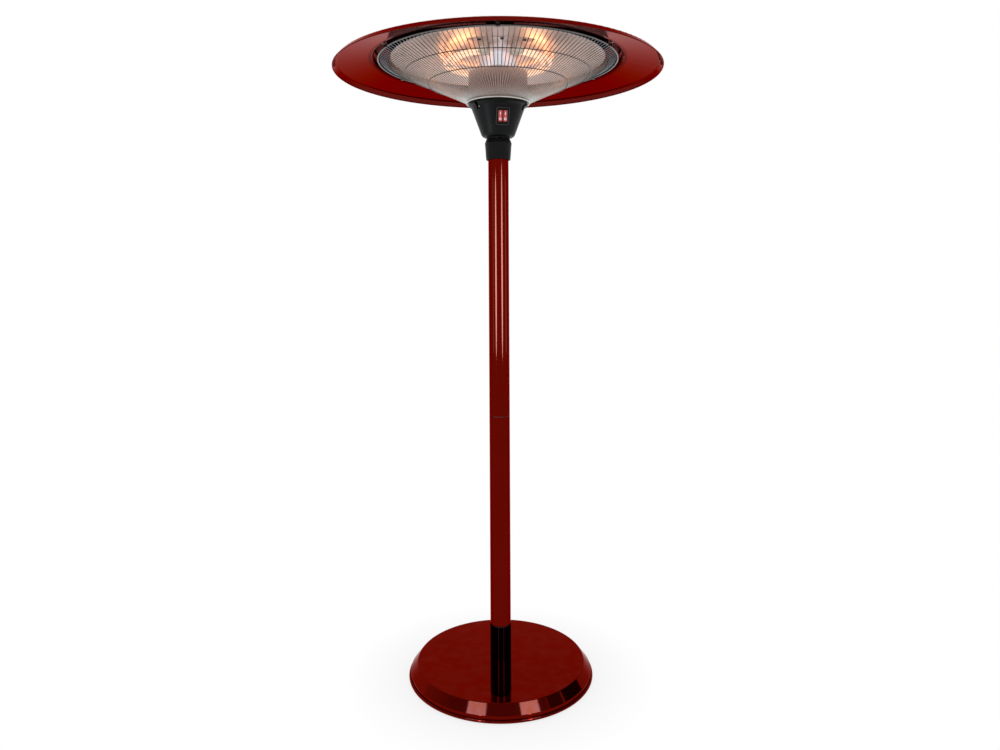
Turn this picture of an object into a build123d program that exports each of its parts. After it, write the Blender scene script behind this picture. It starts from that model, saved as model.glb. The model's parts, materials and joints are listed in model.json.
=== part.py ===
from build123d import *
from math import atan, cos, degrees, radians, sin, sqrt, tan
import os

# Infrared patio heater tower: a round weighted foot, a telescopic mast and a hat-shaped head.
# Millimetres. The origin is on the mast's axis at floor level, +Z up. The head's front is -Y.

# ---- Clearances ------------------------------------------------------------
seat_gap = 0.1          # radial gap of a press or screwed seat inside one assembly
slide_gap = 0.3         # radial gap of the telescoping tube and of the turning collar
pivot_gap = 0.06        # radial gap of a rocker's pivot
rocker_gap = 0.3        # gap between a rocker and its window
weld_gap = 0.03         # gap left at a tangent spot weld
face_gap = 0.02         # gap left where two faces rest on each other across an edge
screw_gap = 0.2         # radial gap of a screw in its hole
thread_gap = 0.05       # radial gap of a screw in its thread
lead_gap = 0.5          # radial gap of a lamp lead in its hole
cut_over = 1.0          # how far a cut runs past the face that it opens

# ---- Foot ------------------------------------------------------------------
foot_pad_h = 5.0        # rubber pads hold the ballast this far off the floor
foot_pad_d = 30.0
foot_pad_count = 5
foot_pad_inset = 30.3   # their centres from the ballast's edge
foot_plug_d = 8.0
foot_plug_h = 7.0
ballast_t = 10.0        # cast disc
ballast_boss_d = 120.0
base_h = 39.2           # floor to the top of the pressed cover
base_plate_d = 430.4    # flat top of the cover
skirt_d = 466.4         # lower edge of the sloping skirt
skirt_foot_h = 17.5     # height of the skirt's lower edge
base_sheet = 1.5
rim_bead_r = 3.8        # rolled edge of the cover
rim_bead_h = 6.0        # its centre above the floor
rim_bulge = 1.0         # its centre outside the skirt's wall
plate_corner_r = 3.0
skirt_foot_r = 2.0

# ---- Mast ------------------------------------------------------------------
pole_d = 53.5
pole_wall = 1.5
socket_d = 54.6
socket_h = 90.0         # black socket showing above the cover
spigot_h = 60.0         # part of the socket inside the lower pole
spigot_wall = 3.0
socket_floor = 8.0
lower_pole_l = 541.0
upper_pole_l = 700.0
pole_seam = 0.6
pole_edge = 0.5         # chamfer at the ends of each pole
coupler_l = 100.0
coupler_wall = 2.0
lock_screw_d = 5.0
lock_screw_h = 22.0     # above the lower pole's end
lock_screw_tip = 0.5    # its tip from the spigot's bore
lock_head_d = 9.0
lock_head_h = 2.6
hex_recess_r = 1.5
hex_recess_depth = 1.8
socket_bolt_d = 8.0
socket_bolt_circle_d = 28.0
socket_bolt_count = 3
socket_bolt_grip = 5.0  # thread length in the socket's floor
tap_runout = 1.0
bolt_head_af = 13.0
bolt_head_h = 5.3
washer_d = 16.0
washer_t = 1.6
counterbore_d = 20.0
counterbore_h = 9.0
cable_bore_d = 8.0
cable_bore_h = 31.0     # above the base cover
grommet_neck_d = 13.0
grommet_flange_d = 19.0
grommet_flange_t = 3.0
grommet_tail_step = 1.0 # the inner flange is this much smaller in radius

# ---- Telescope and twist lock ----------------------------------------------
mast_travel = 450.0
inner_tube_d = 45.0
inner_tube_wall = 2.0
key_w = 5.0
key_depth = 0.8
bush_l = 100.0
bush_band = 18.0        # bearing band at each end of the guide bush
bush_waist = 1.0
bush_ramp = 2.0
bush_lip = 2.0
bush_stop_gap = 1.0     # spare travel above the guide bush
collar_h = 54.0
collar_overlap = 33.0   # how far the collar hangs below the upper pole's mouth
collar_bottom_d = 63.6
collar_top_d = 70.4
collar_shoulder_h = 11.0
collar_shoulder_r = 6.0
collar_waist_h = 8.0    # below the shoulder
collar_waist_in = 1.0
collar_waist_r = 4.0
collar_foot_r = 0.8
collar_top_step = 0.5   # its top edge outside the housing's neck
collar_top_r = 1.5
collar_lip = 3.5
collar_flutes = 24
collar_flute_depth = 0.5
collar_flute_w = 4.0
collar_flute_inset = 6.0
sleeve_wall = 2.75
sleeve_l = 29.0
sleeve_step = 3.0
collet_h = 13.0
collet_wall = 4.6
collet_land = 2.0       # straight foot of the collet
collet_taper = 2.0
collet_slot = 2.0
neck_gap = 1.0

# ---- Control housing -------------------------------------------------------
neck_d = 61.0
neck_h = 3.5
housing_h = 87.0        # from the neck's shoulder to the top rim
housing_bottom_d = 83.0
housing_flare = 0.3675  # radius gained per millimetre of height
housing_corner_r = 12.0
neck_edge_r = 1.0
housing_wall = 2.5
housing_floor = 3.0
housing_lip_d = 154.0
housing_lip_h = 5.0
housing_lip_ramp = 4.0
housing_lip_blend_r = 6.0
housing_lip_r = 1.5
housing_edge_r = 0.8
cavity_bevel_w = 4.0
cavity_bevel_h = 8.0
hub_d = 54.0
hub_h = 22.0
flange_d = 138.0
flange_t = 3.0
flange_hub_l = 35.0
flange_hub_wall = 5.5
set_screw_d = 5.0
set_screw_sink = 0.4
set_recess_depth = 2.0
housing_screw_d = 4.0
housing_screw_l = 7.0
housing_screw_head_d = 8.0
pan_head_h = 2.6
pan_head_r = 1.6        # rounding of a pan head
cross_l = 5.0
cross_w = 1.0
cross_depth = 1.2
housing_screw_h = 11.0  # axis below the housing's rim
housing_screw_angles = (60.0, 180.0, -60.0)
screw_pocket_w = 12.0
screw_pocket_h = 17.5
screw_boss_side = 3.0
screw_boss_rim = 1.5
screw_boss_wall = 2.5
screw_wall_r = 62.0     # flat seat of the housing screws, from the axis
tab_w = 14.0
tab_t = 2.0
tab_reach = 7.0         # below the screw's axis
switch_azimuth = 11.0   # to the right of the front
switch_h = 45.5         # its centre above the neck's shoulder
switch_frame_w = 34.0
switch_frame_h = 45.0
switch_frame_t = 3.0
switch_frame_edge = 0.8
switch_corner_r = 4.0
switch_pad_margin = 1.5
switch_pad_depth = 6.0
switch_pad_proud = 1.0  # the pad's face outside the housing's cone
switch_body_w = 27.0
switch_body_h = 31.5
switch_body_depth = 26.0
switch_body_sink = 0.6  # its face below the frame's
switch_rib = 1.6
switch_side_wall = 1.3
switch_end_wall = 1.4
bay_spare = 3.0         # room under the rockers
blade_pitch = 8.0
blade_w = 4.8
blade_t = 0.8
blade_l = 6.0
rocker_tilt = 8.0       # either way from its middle position, in degrees
rocker_pivot_d = 2.4
rocker_pivot_reach = 0.6
rocker_pivot_depth = 2.5
rocker_face = 3.2       # the face's middle line above the pivot
rocker_drop = 5.0
tilt_switch_size = (22.0, 10.0, 18.0)
tilt_switch_azimuth = 120.0
terminal_size = (60.0, 20.0, 17.0)
terminal_ways = 4
terminal_hole_d = 5.2
terminal_hole_depth = 12.5

# ---- Guard -----------------------------------------------------------------
guard_foot_r = 80.0     # where the wires' centre line begins
guard_foot_rise = 5.0   # above the housing's rim
guard_top_r = 310.0
guard_rise = 106.9
guard_wire_d = 2.0
guard_wire_count = 144
hoop_d = 2.2
hoop_radii = (182.6, 241.0)
foot_ring_d = 4.0
top_ring_d = 5.0
ring_inset = 1.0        # the end rings from the wires' ends
rim_gap = 0.5           # between the housing's rim and the guard's foot plate
guard_plate_t = 1.2
clip_count = 6
clip_w = 10.0
clip_t = 1.2
clip_gap = 0.3

# ---- Lamps and reflector ---------------------------------------------------
drum_d = 154.4
drum_h = 80.0
drum_wall = 1.0
post_d = 102.0
post_h = 45.6
post_wall = 1.0
post_flange_d = 118.0
dish_d = 558.0
dish_fall = 11.4        # from the middle to the rim
dish_sheet = 1.0
dish_bead_r = 1.6
lamp_azimuth = 3.0      # middle of the gap between the lamps' ends
lamp_gap_half = 21.0    # degrees
lamp_tube_d = 10.0
lamp_glass = 1.0
lamp_drop = 22.0        # lamp centre line below the dish's flat
outer_lamp_r = 137.0
inner_lamp_r = 118.0
filament_d = 3.0
end_cap_d = 13.0
end_cap_l = 20.0
end_cap_overlap = 5.0
holder_l = 34.0
holder_w = 12.0
bracket_t = 1.2
bracket_r = (104.0, 182.0)
bracket_half = 27.0     # degrees
bracket_screw_r = 170.0
bracket_screw_angles = (-18.0, 0.5, 19.5)
bracket_screw_d = 4.0
bracket_screw_head_d = 9.0
bracket_nut_af = 7.0
bracket_nut_h = 3.0
bracket_screw_end = 1.5 # past the nut
hanger_angles = (90.0, 180.0, 270.0)
hanger_w = 8.0
hanger_t = 1.4
hanger_spare = 3.0      # past each lamp's centre line
lead_d = 5.0
lead_r = 34.0
lead_half = 16.0        # azimuth either side of the lamps' middle, degrees
lead_height = 20.0      # centre line above the middle of the dish
lead_bend_r = 18.0

# ---- Shade -----------------------------------------------------------------
shade_d = 850.0
shade_sheet = 1.0
lip_h = 12.2
lip_w = 9.0
lip_r = 8.0
brim_ramp_w = 13.0      # the short ramp between crown and brim
brim_rise = 15.8
crown_gap = 12.0        # the crown's wall from the guard's wire ends
crown_wall_h = 17.5     # mouth to the foot of the dome
crown_roll_r = 6.0
crown_shoulder_w = 14.0
crown_shoulder_r = 3.0
crown_step = 2.0        # rise of that ramp
crown_shoulder_h = 5.0
crown_dome = 38.0
crown_edge_r = 30.0     # rounding where the dome meets the shoulder
hem_r = 1.4
spacer_d = 28.0
spacer_wall = 4.0
spacer_flange_d = 64.0
spacer_flange_t = 2.0
rod_d = 10.0
rod_hole_gap = 0.3
nut_af = 17.0
nut_h = 8.0
rod_end = 3.0           # past the lower nut
cap_washer_d = 44.0
cap_washer_t = 2.0
cap_nut_h = 10.0
cap_nut_step = 0.5

# ---- Heights that follow from the sizes ------------------------------------
z_ballast = foot_pad_h
z_cover_under = base_h - base_sheet
z_bolt_seat = z_ballast + counterbore_h
z_socket_top = base_h + socket_h
z_lower_top = z_socket_top + lower_pole_l
z_upper_bottom = z_lower_top + pole_seam
z_upper_top = z_upper_bottom + upper_pole_l
z_collar = z_upper_top - collar_overlap
z_collar_top = z_collar + collar_h
z_neck = z_collar_top + neck_gap
z_housing = z_neck + neck_h
z_rim = z_housing + housing_h
z_flange = z_rim - flange_t
z_plate = z_rim + rim_gap
z_drum = z_plate + guard_plate_t
z_drum_top = z_drum + drum_h
z_dish = z_drum_top + post_h
z_dish_top = z_dish + dish_sheet
z_dish_rim = z_dish - dish_fall
z_lamp = z_dish - lamp_drop
z_wire_foot = z_rim + guard_foot_rise
z_sleeve = z_upper_top + sleeve_step - sleeve_l
z_collet = z_upper_top + sleeve_step
z_bush_top = z_upper_top - mast_travel - bush_stop_gap
z_tube = z_bush_top - bush_l + bush_lip
z_switch = z_housing + switch_h
z_housing_screw = z_rim - housing_screw_h
z_grommet = base_h + cable_bore_h

pole_bore_r = pole_d / 2 - pole_wall
spigot_r = pole_bore_r - seat_gap
socket_bore_r = spigot_r - spigot_wall
inner_tube_r = inner_tube_d / 2
ballast_r = skirt_d / 2 + rim_bulge - rim_bead_r - seat_gap
foot_pad_circle_r = ballast_r - foot_pad_inset
crown_wall_r = guard_top_r + crown_gap
brim_inner_r = crown_wall_r + brim_ramp_w
rod_r = rod_d / 2
rod_hole_r = rod_r + rod_hole_gap
guard_slope = atan(guard_rise / (guard_top_r - guard_foot_r))
flare_angle = atan(housing_flare)

nodes = {}


# ---- Helpers ---------------------------------------------------------------
def tube(outer_r, inner_r, bottom, top):
    """A tube, washer or disc about the mast's axis, between two heights."""
    body = Cylinder(outer_r, top - bottom, align=(Align.CENTER, Align.CENTER, Align.MIN))
    if inner_r > 0:
        body -= Cylinder(inner_r, top - bottom, align=(Align.CENTER, Align.CENTER, Align.MIN))
    return Pos(0, 0, bottom) * body


def turned(*profiles):
    """A solid of revolution about the mast's axis from faces drawn as (radius, height)."""
    face = profiles[0]
    for extra in profiles[1:]:
        face = face + extra
    return revolve(Plane.XZ * face, Axis.Z)


def outline(points, radii=None):
    """A closed face through (radius, height) points, with a corner radius for each point."""
    path = Polyline(*points, close=True)
    if radii:
        path = FilletPolyline(*points, radius=radii, close=True)
    return make_face(path.edges())


def pressed_sheet(points, radii, thickness, side=Side.LEFT):
    """A bent strip of sheet that follows an open path, on the given side of it."""
    path = Wire(FilletPolyline(*points, radius=radii).edges())
    return make_face(offset(path, thickness, side=side).edges())


def bead(radius, height, wire_r):
    """The round section of a rolled edge or hoop."""
    return Pos(radius, height) * Circle(wire_r)


def hoop(radius, height, wire_r):
    """A ring of round wire about the mast's axis."""
    return Pos(0, 0, height) * Torus(radius, wire_r)


def around(count, first=0.0):
    """Equally spaced azimuths in degrees."""
    return [first + 360.0 * index / count for index in range(count)]


def facing(azimuth):
    """Turns something built facing the front (-Y) to an azimuth, positive to its right."""
    return Rot(0, 0, azimuth)


def cross(top):
    """The recess of a cross-head screw about the mast's axis, in a face at a height."""
    arm = Box(cross_l, cross_w, 2 * cross_depth)
    return Pos(0, 0, top) * (arm + Rot(0, 0, 90) * arm)


def hex_recess(top, depth):
    """The recess of a hex-socket screw about the mast's axis, in a face at a height."""
    return Pos(0, 0, top) * extrude(RegularPolygon(hex_recess_r, 6), -depth)


def hexagon(across_flats, bottom, top):
    """A hexagonal prism about the mast's axis."""
    flat = RegularPolygon(across_flats / 2, 6, major_radius=False)
    return Pos(0, 0, bottom) * extrude(flat, top - bottom)


def keep(name, *solids):
    """Stores the solids of one node."""
    flat = []
    for item in solids:
        flat.extend(item.solids())
    nodes[name] = flat


# ---- Foot ------------------------------------------------------------------
def bolt_places():
    return [Pos(socket_bolt_circle_d / 2 * cos(radians(a)), socket_bolt_circle_d / 2 * sin(radians(a)), 0)
            for a in around(socket_bolt_count, 90.0)]


def pad_places():
    return [Pos(foot_pad_circle_r * cos(radians(a)), foot_pad_circle_r * sin(radians(a)), 0)
            for a in around(foot_pad_count, 90.0)]


def make_foot():
    bolt_hole_r = socket_bolt_d / 2 + screw_gap
    wall_r = skirt_d / 2
    sheet = pressed_sheet(
        [(0, base_h), (base_plate_d / 2, base_h), (wall_r, skirt_foot_h), (wall_r, rim_bead_h)],
        [plate_corner_r, skirt_foot_r], base_sheet, Side.RIGHT)
    cover = turned(sheet, bead(wall_r + rim_bulge, rim_bead_h, rim_bead_r))
    for place in bolt_places():
        cover -= place * tube(bolt_hole_r, 0, z_cover_under, base_h)
    keep("base_cover", cover)

    ballast = tube(ballast_r, 0, z_ballast, z_ballast + ballast_t)
    ballast += tube(ballast_boss_d / 2, 0, z_ballast, z_cover_under)
    for place in bolt_places():
        ballast -= place * tube(bolt_hole_r, 0, z_ballast, z_cover_under)
        ballast -= place * tube(counterbore_d / 2, 0, z_ballast, z_bolt_seat)
    socket_top = z_ballast + foot_plug_h + seat_gap
    for place in pad_places():
        ballast -= place * tube(foot_plug_d / 2 + seat_gap, 0, z_ballast, socket_top)
    keep("ballast_disc", ballast)

    pad = tube(foot_pad_d / 2, 0, 0, foot_pad_h)
    pad += tube(foot_plug_d / 2, 0, foot_pad_h, foot_pad_h + foot_plug_h)
    keep("rubber_feet", *[place * pad for place in pad_places()])


def make_socket():
    floor_top = base_h + socket_floor
    spigot_top = z_socket_top + spigot_h
    socket = tube(socket_d / 2, 0, base_h, z_socket_top) + tube(spigot_r, 0, z_socket_top, spigot_top)
    socket -= tube(socket_bore_r, 0, floor_top, spigot_top)
    tap_top = base_h + socket_bolt_grip + tap_runout
    for place in bolt_places():
        socket -= place * tube(socket_bolt_d / 2 + seat_gap, 0, base_h, tap_top)
    neck_r = grommet_neck_d / 2
    socket -= Pos(0, 0, z_grommet) * Rot(-90, 0, 0) * tube(neck_r + seat_gap, 0, 0, socket_d)
    screw_z = z_socket_top + lock_screw_h
    socket -= Pos(0, 0, screw_z) * Rot(-90, 0, 0) * tube(lock_screw_d / 2 + seat_gap, 0, 0, socket_d)
    keep("mast_socket", socket)

    bolt = hexagon(bolt_head_af, z_bolt_seat - washer_t - bolt_head_h, z_bolt_seat - washer_t)
    bolt += tube(socket_bolt_d / 2, 0, z_bolt_seat - washer_t, base_h + socket_bolt_grip)
    washer = tube(washer_d / 2, socket_bolt_d / 2 + screw_gap, z_bolt_seat - washer_t, z_bolt_seat)
    keep("socket_bolts", *[place * bolt for place in bolt_places()])
    keep("bolt_washers", *[place * washer for place in bolt_places()])

    upright = Rot(90, 0, 0)
    outer_wall = upright * tube(socket_d / 2 + face_gap, 0, -grommet_flange_d, grommet_flange_d)
    inner_wall = upright * tube(socket_bore_r - face_gap, 0, -grommet_flange_d, grommet_flange_d)
    flange_r = grommet_flange_d / 2
    outside = socket_d / 2 + grommet_flange_t
    inside = socket_bore_r - grommet_flange_t
    flange = tube(flange_r, 0, 0, outside) - outer_wall
    tail = tube(flange_r - grommet_tail_step, 0, inside, socket_d / 2) & inner_wall
    neck = tube(neck_r, 0, inside, outside)
    grommet = flange + tail + neck - tube(cable_bore_d / 2, 0, 0, outside)
    keep("cable_grommet", Pos(0, 0, z_grommet) * Rot(-90, 0, 0) * grommet)


# ---- Mast ------------------------------------------------------------------
def pole(bottom, top):
    body = tube(pole_d / 2, pole_bore_r, bottom, top)
    rims = body.edges().filter_by(GeomType.CIRCLE)
    return chamfer(rims.filter_by(lambda edge: edge.radius > pole_d / 2 - pole_wall / 2), pole_edge)


def make_poles():
    screw_z = z_socket_top + lock_screw_h
    screw_way = Pos(0, 0, screw_z) * Rot(-90, 0, 0)
    lower = pole(z_socket_top, z_lower_top)
    lower -= screw_way * tube(lock_screw_d / 2 + seat_gap, 0, 0, pole_d)
    keep("lower_pole", lower)
    keep("upper_pole", pole(z_upper_bottom, z_upper_top))

    seam = z_lower_top + pole_seam / 2
    sleeve_r = pole_bore_r - seat_gap
    coupler = tube(sleeve_r, sleeve_r - coupler_wall, seam - coupler_l / 2, seam + coupler_l / 2)
    keep("pole_coupler", coupler)

    head_start = pole_d / 2 + face_gap
    head_top = head_start + lock_head_h
    screw = tube(lock_screw_d / 2, 0, socket_bore_r + lock_screw_tip, head_start)
    screw += tube(lock_head_d / 2, 0, head_start, head_top)
    screw -= hex_recess(head_top, hex_recess_depth)
    keep("pole_lock_screw", screw_way * screw)


def make_telescope():
    key_way = Pos(0, inner_tube_r, z_tube) * Box(
        key_w, 2 * key_depth, z_flange - z_tube, align=(Align.CENTER, Align.CENTER, Align.MIN))
    keep("inner_tube", tube(inner_tube_r, inner_tube_r - inner_tube_wall, z_tube, z_flange) - key_way)

    bottom = z_bush_top - bush_l
    outer = pole_bore_r - slide_gap
    inner = inner_tube_r + seat_gap
    waist = outer - bush_waist
    lip = inner_tube_r - inner_tube_wall
    bush = turned(outline([
        (lip, bottom), (outer, bottom), (outer, bottom + bush_band),
        (waist, bottom + bush_band + bush_ramp), (waist, z_bush_top - bush_band - bush_ramp),
        (outer, z_bush_top - bush_band),
        (outer, z_bush_top), (inner, z_bush_top), (inner, z_tube), (lip, z_tube)]))
    keep("guide_bush", bush)


def make_twist_lock():
    sleeve_r = pole_d / 2 + sleeve_wall
    seat_r = pole_d / 2 + seat_gap
    step_bore = inner_tube_r + 2 * slide_gap
    sleeve = turned(outline([
        (seat_r, z_sleeve), (sleeve_r, z_sleeve), (sleeve_r, z_collet), (step_bore, z_collet),
        (step_bore, z_upper_top), (seat_r, z_upper_top)]))
    keep("clamp_sleeve", sleeve)

    bore = inner_tube_r + slide_gap
    collet = turned(outline([
        (bore, z_collet), (bore + collet_wall, z_collet), (bore + collet_wall, z_collet + collet_land),
        (bore + collet_wall - collet_taper, z_collet + collet_h), (bore, z_collet + collet_h)]))
    tongue_w = key_w - 2 * slide_gap
    tongue_r = inner_tube_r - key_depth + slide_gap
    tongue = Pos(0, tongue_r, z_collet) * Box(
        tongue_w, bore + collet_wall / 2 - tongue_r, collet_h, align=(Align.CENTER, Align.MIN, Align.MIN))
    slot = Pos(0, -bore, z_collet + collet_land) * Box(
        collet_slot, 4 * collet_wall, collet_h, align=(Align.CENTER, Align.CENTER, Align.MIN))
    keep("clamp_collet", collet + tongue - slot)

    cone_foot = sleeve_r + slide_gap
    lip_z = z_collar_top - collar_lip
    shoulder_z = z_collar_top - collar_shoulder_h
    lip_bore = inner_tube_r + 2 * slide_gap
    throat = bore + collet_wall + slide_gap
    top_throat = throat - collet_taper
    collar = turned(outline([
        (cone_foot, z_collar), (collar_bottom_d / 2, z_collar),
        (collar_top_d / 2 - collar_waist_in, shoulder_z - collar_waist_h), (collar_top_d / 2, shoulder_z),
        (neck_d / 2 + collar_top_step, z_collar_top), (lip_bore, z_collar_top),
        (lip_bore, lip_z + slide_gap), (top_throat, lip_z + slide_gap), (throat, z_collet + collet_land),
        (throat, z_collet + slide_gap), (cone_foot, z_collet + slide_gap)],
        [0, collar_foot_r, collar_waist_r, collar_shoulder_r, collar_top_r, 0, 0, 0, 0, 0, 0]))
    taper = atan((collar_top_d - collar_bottom_d) / 2 / (collar_h - collar_shoulder_h))
    flute_r = (collar_top_d + collar_bottom_d) / 4 + collar_flute_w / 2 - collar_flute_depth
    flute_z = (z_collar + shoulder_z) / 2
    flute = Pos(flute_r, 0, flute_z) * Rot(0, degrees(taper), 0) * Cylinder(
        collar_flute_w / 2, collar_h - collar_shoulder_h - 2 * collar_flute_inset)
    for azimuth in around(collar_flutes):
        collar -= Rot(0, 0, azimuth) * flute
    keep("lock_collar", collar)


# ---- Control housing -------------------------------------------------------
def housing_r(height):
    """Outer radius of the housing's cone at a height."""
    return housing_bottom_d / 2 + (height - z_housing) * housing_flare


def switch_plane():
    """The plane of the switch's pad: x to the right, y up the slope, z out of the housing."""
    azimuth = radians(switch_azimuth)
    right = Vector(cos(azimuth), sin(azimuth), 0)
    forward = Vector(sin(azimuth), -cos(azimuth), 0)
    out = forward * cos(flare_angle) - Vector(0, 0, 1) * sin(flare_angle)
    middle = forward * (housing_r(z_switch) + switch_pad_proud) + Vector(0, 0, z_switch)
    return Plane(origin=middle, x_dir=right, z_dir=out)


def make_housing():
    bore = inner_tube_r + seat_gap
    cavity_floor = z_housing + housing_floor
    bevel_top = cavity_floor + cavity_bevel_h
    z_ramp = z_rim - housing_lip_h - housing_lip_ramp
    shell = turned(outline([
        (bore, z_neck), (neck_d / 2, z_neck), (neck_d / 2, z_housing), (housing_bottom_d / 2, z_housing),
        (housing_r(z_ramp), z_ramp),
        (housing_lip_d / 2, z_rim - housing_lip_h), (housing_lip_d / 2, z_rim), (bore, z_rim)],
        [0, neck_edge_r, 0, housing_corner_r, housing_lip_blend_r, housing_lip_r, housing_edge_r, 0]))
    envelope = turned(outline([
        (0, z_housing), (housing_bottom_d / 2, z_housing), (housing_r(z_rim), z_rim), (0, z_rim)],
        [0, housing_corner_r, 0, 0]))
    cavity = turned(outline([
        (0, cavity_floor), (housing_r(cavity_floor) - housing_wall - cavity_bevel_w, cavity_floor),
        (housing_r(bevel_top) - housing_wall, bevel_top),
        (housing_r(z_flange) - housing_wall, z_flange), (flange_d / 2 + seat_gap, z_flange),
        (flange_d / 2 + seat_gap, z_rim + cut_over), (0, z_rim + cut_over)]))
    hub = tube(hub_d / 2, bore, z_neck, z_neck + hub_h)

    frame = switch_plane()
    pad_w = switch_frame_w + 2 * switch_pad_margin
    pad_h = switch_frame_h + 2 * switch_pad_margin
    pad = frame * extrude(RectangleRounded(pad_w, pad_h, switch_corner_r), -switch_pad_depth)
    opening = frame * extrude(switch_window(), -switch_body_depth)

    boss = Pos(0, screw_boss_wall - screw_wall_r, z_housing_screw) * Box(
        screw_pocket_w + 2 * screw_boss_side, screw_wall_r, screw_pocket_h + 2 * screw_boss_rim,
        align=(Align.CENTER, Align.MAX, Align.CENTER))
    boss &= tube(2 * screw_wall_r, 0, z_neck, z_flange - slide_gap)
    pocket = Pos(0, -screw_wall_r, z_housing_screw) * Box(
        screw_pocket_w, screw_wall_r, screw_pocket_h, align=(Align.CENTER, Align.MAX, Align.CENTER))
    shank = Pos(0, 0, z_housing_screw) * Rot(90, 0, 0) * tube(
        housing_screw_d / 2 + screw_gap, 0, screw_wall_r - screw_boss_wall - cut_over, screw_wall_r)

    shell = shell - cavity + hub
    for angle in housing_screw_angles:
        turn = facing(switch_azimuth + angle)
        shell += turn * (boss & envelope)
        shell -= turn * pocket
        shell -= turn * shank
    shell = shell + (pad - cavity) - opening
    keep("control_housing", shell)

    head_top = screw_wall_r + pan_head_h
    screw = tube(housing_screw_d / 2, 0, screw_wall_r - housing_screw_l, screw_wall_r)
    screw += tube(housing_screw_head_d / 2, 0, screw_wall_r, head_top)
    screw = Pos(0, 0, z_housing_screw) * Rot(90, 0, 0) * (screw - cross(head_top))
    keep("housing_screws", *[facing(switch_azimuth + angle) * screw for angle in housing_screw_angles])


def switch_window():
    """The opening that the switch's body fills, in the housing's pad and in the frame."""
    return Rectangle(switch_body_w + 2 * seat_gap, switch_body_h + 2 * seat_gap)


def make_flange():
    bore = inner_tube_r + seat_gap
    hub_r = bore + flange_hub_wall
    plate = tube(flange_d / 2, rod_hole_r, z_flange, z_rim)
    plate += tube(hub_r, bore, z_flange - flange_hub_l, z_flange)
    tab_face = screw_wall_r - screw_boss_wall - seat_gap
    tab_bottom = z_housing_screw - tab_reach
    tab = Pos(0, -tab_face, tab_bottom) * Box(
        tab_w, tab_t, z_flange - tab_bottom, align=(Align.CENTER, Align.MIN, Align.MIN))
    hole = Pos(0, 0, z_housing_screw) * Rot(90, 0, 0) * tube(
        housing_screw_d / 2 + thread_gap, 0, tab_face - tab_t - cut_over, tab_face + cut_over)
    for angle in housing_screw_angles:
        turn = facing(switch_azimuth + angle)
        plate = plate + turn * tab - turn * hole
    set_z = z_flange - flange_hub_l / 2
    set_way = tube(set_screw_d / 2 + thread_gap, 0, 0, hub_r + cut_over)
    for angle in (90.0, -90.0):
        plate -= facing(angle) * Pos(0, 0, set_z) * Rot(90, 0, 0) * set_way
    for hole in lead_holes(z_flange, z_rim):
        plate -= hole
    keep("mast_flange", plate)

    set_screw = tube(set_screw_d / 2, 0, inner_tube_r + face_gap, hub_r - set_screw_sink)
    set_screw -= hex_recess(hub_r - set_screw_sink, set_recess_depth)
    keep("tube_set_screws", *[facing(angle) * Pos(0, 0, set_z) * Rot(90, 0, 0) * set_screw
                              for angle in (90.0, -90.0)])


def make_switch():
    frame = switch_plane()
    window_w = switch_body_w - 2 * switch_side_wall
    window_h = switch_body_h - 2 * switch_end_wall
    bezel = extrude(RectangleRounded(switch_frame_w, switch_frame_h, switch_corner_r), switch_frame_t)
    bezel = chamfer(bezel.faces().sort_by(Axis.Z)[-1].edges(), switch_frame_edge)
    bezel -= extrude(switch_window(), switch_frame_t)
    keep("switch_frame", frame * Pos(0, 0, face_gap) * bezel)

    bay_w = (window_w - switch_rib) / 2
    face_z = switch_frame_t - switch_body_sink
    body = Pos(0, 0, face_z) * extrude(Rectangle(switch_body_w, switch_body_h), -switch_body_depth)
    pivot_z = face_z - rocker_pivot_depth
    bay_floor = pivot_z - rocker_drop - bay_spare
    bay_x = (bay_w + switch_rib) / 2
    bay = Box(bay_w, window_h, switch_body_depth, align=(Align.CENTER, Align.CENTER, Align.MIN))
    hole_r = rocker_pivot_d / 2 + pivot_gap
    hole_l = bay_w + 2 * (rocker_pivot_reach + pivot_gap)
    for side in (-1, 1):
        body -= Pos(side * bay_x, 0, bay_floor) * bay
        body -= Pos(side * bay_x, 0, pivot_z) * Rot(0, 90, 0) * Cylinder(hole_r, hole_l)
    blade = Box(blade_w, blade_t, blade_l, align=(Align.CENTER, Align.CENTER, Align.MAX))
    for x in (-bay_x, bay_x):
        for y in (-blade_pitch, 0.0, blade_pitch):
            body += Pos(x, y, face_z - switch_body_depth) * blade
    keep("switch_body", frame * body)

    width = bay_w - 2 * rocker_gap
    end_r = window_h / 2 - rocker_gap
    rise = end_r * tan(radians(rocker_tilt))
    section = Circle(end_r)
    section &= outline([(-end_r, -rocker_drop), (end_r, -rocker_drop), (end_r, rocker_face + rise),
                        (0, rocker_face), (-end_r, rocker_face + rise)])
    rocker = Rot(0, 0, 90) * Rot(90, 0, 0) * extrude(section, width / 2, both=True)
    axle = Rot(0, 90, 0) * Cylinder(rocker_pivot_d / 2, bay_w + 2 * rocker_pivot_reach)
    rocker = Rot(-rocker_tilt, 0, 0) * (rocker + axle)
    keep("inner_lamp_rocker", frame * Pos(-bay_x, 0, pivot_z) * rocker)
    keep("outer_lamp_rocker", frame * Pos(bay_x, 0, pivot_z) * rocker)


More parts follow.
